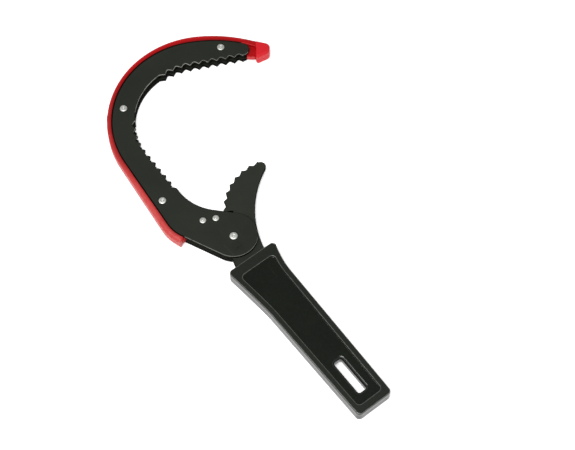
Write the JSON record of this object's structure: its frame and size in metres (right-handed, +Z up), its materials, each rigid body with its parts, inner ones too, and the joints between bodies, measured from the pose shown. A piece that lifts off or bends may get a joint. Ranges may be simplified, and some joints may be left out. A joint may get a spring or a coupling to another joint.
{
  "type": "oil filter wrench",
  "caption": "Self-gripping hook wrench for spin-on oil filters: toothed steel hook with a moulded edge guard, toothed pivoting jaw lever and moulded grip.",
  "frame": {"origin": "under the middle of the whole wrench as it lies flat, on the surface it lies on", "axes": "+Y along the grip's centre line from the grip towards the hook, +Z up out of the front plate, +X to the side that the hook's mouth opens to"},
  "size_m": [0.1268, 0.265, 0.0086],
  "materials": {
    "plate_finish": "satin black",
    "lever_finish": "satin black",
    "guard_plastic": "glossy red",
    "grip_plastic": "glossy black",
    "rivet_zinc": "bright zinc",
    "bush_steel": "plain steel"
  },
  "bodies": {
    "hook": {"front_plate": "plate_finish", "rear_plate": "plate_finish", "edge_guard": "guard_plastic", "tip_rivet": "rivet_zinc", "crown_rivet": "rivet_zinc", "heel_rivet": "rivet_zinc", "spacer_pin": "rivet_zinc", "stop_pin": "rivet_zinc", "pivot_rivet": "rivet_zinc", "pivot_bush": "bush_steel", "pivot_washer_front": "bush_steel", "pivot_washer_rear": "bush_steel"},
    "lever": {"jaw_lever": "lever_finish", "grip_front": "grip_plastic", "grip_rear": "grip_plastic"}
  },
  "joints": [
    {"name": "lever_pivot", "type": "hinge", "parent": "hook", "child": "lever", "pos_m": [-0.03365, -0.00152, 0.0043], "axis": [0, 0, 1], "range_deg": [-72, 33]}
  ]
}
